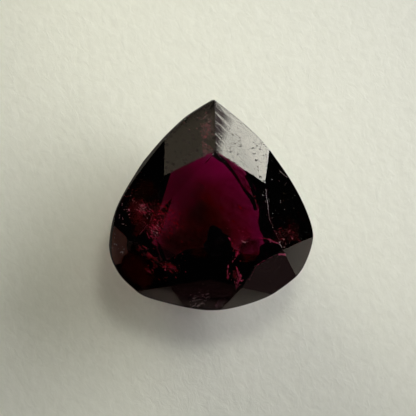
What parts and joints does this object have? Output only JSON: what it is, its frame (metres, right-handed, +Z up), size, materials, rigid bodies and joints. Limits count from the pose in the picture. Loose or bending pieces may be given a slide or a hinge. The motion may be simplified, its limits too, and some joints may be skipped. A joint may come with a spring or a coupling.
{
  "type": "loose tourmaline",
  "caption": "Loose faceted gemstone: a wide pear-cut magenta tourmaline with a large table, resting on the flat at the bottom of its pavilion.",
  "frame": {"origin": "middle of the stone's bounding box in plan, at the height of the surface it rests on", "axes": "+Z up, away from the resting surface; +Y from the rounded head towards the tip of the pear; +X to the right when the stone is seen from above with its tip up"},
  "size_m": [0.0128, 0.013, 0.0064],
  "materials": {
    "tourmaline": "polished"
  },
  "bodies": {
    "root": {"tourmaline": "tourmaline"}
  },
  "joints": []
}
